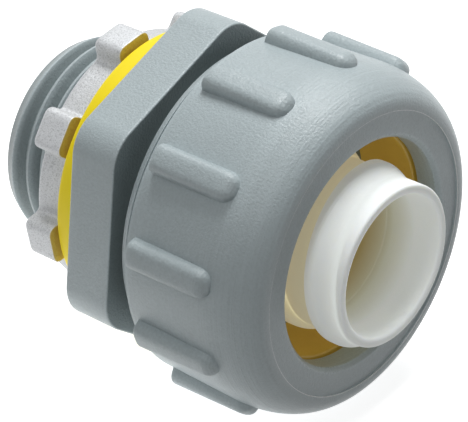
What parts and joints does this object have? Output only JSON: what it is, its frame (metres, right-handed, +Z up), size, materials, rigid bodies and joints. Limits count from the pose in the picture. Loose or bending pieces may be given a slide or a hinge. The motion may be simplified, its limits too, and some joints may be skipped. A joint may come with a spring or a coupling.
{
  "type": "liquidtight conduit connector",
  "caption": "Straight liquidtight conduit connector with a hexagonal flange, ribbed gland nut, spiral ferrule, sealing ring and lugged locknut.",
  "frame": {"origin": "centre of the hexagonal flange's sealing face, on the fitting's axis", "axes": "+X along the axis, out of the gland nut's mouth; +Z up"},
  "size_m": [0.0402, 0.0364, 0.0364],
  "materials": {
    "grey_plastic": "fine moulded satin",
    "zinc": "speckled die casting",
    "yellow_ring": "smooth",
    "amber_ring": "smooth",
    "white_plastic": "smooth"
  },
  "bodies": {
    "body": {"connector_body": "grey_plastic", "ferrule": "white_plastic", "sealing_ring": "yellow_ring"},
    "grip": {"grip_ring": "amber_ring"},
    "nut": {"gland_nut": "grey_plastic"},
    "lock": {"locknut": "zinc"}
  },
  "joints": [
    {"name": "grip_ring_slide", "type": "slide", "parent": "body", "child": "grip", "axis": [1, 0, 0], "range_m": [-0.0012, 0.006]},
    {"name": "gland_nut_turn", "type": "hinge", "parent": "grip", "child": "nut", "pos_m": [0.015, 0, 0], "axis": [1, 0, 0], "range_deg": [-288, 1440]},
    {"name": "locknut_travel", "type": "slide", "parent": "body", "child": "lock", "axis": [-1, 0, 0], "range_m": [0, 0.00726]}
  ],
  "couplings": [
    {"joint": "grip_ring_slide", "follows": "gland_nut_turn", "m_per_rad": 0.00023873}
  ]
}
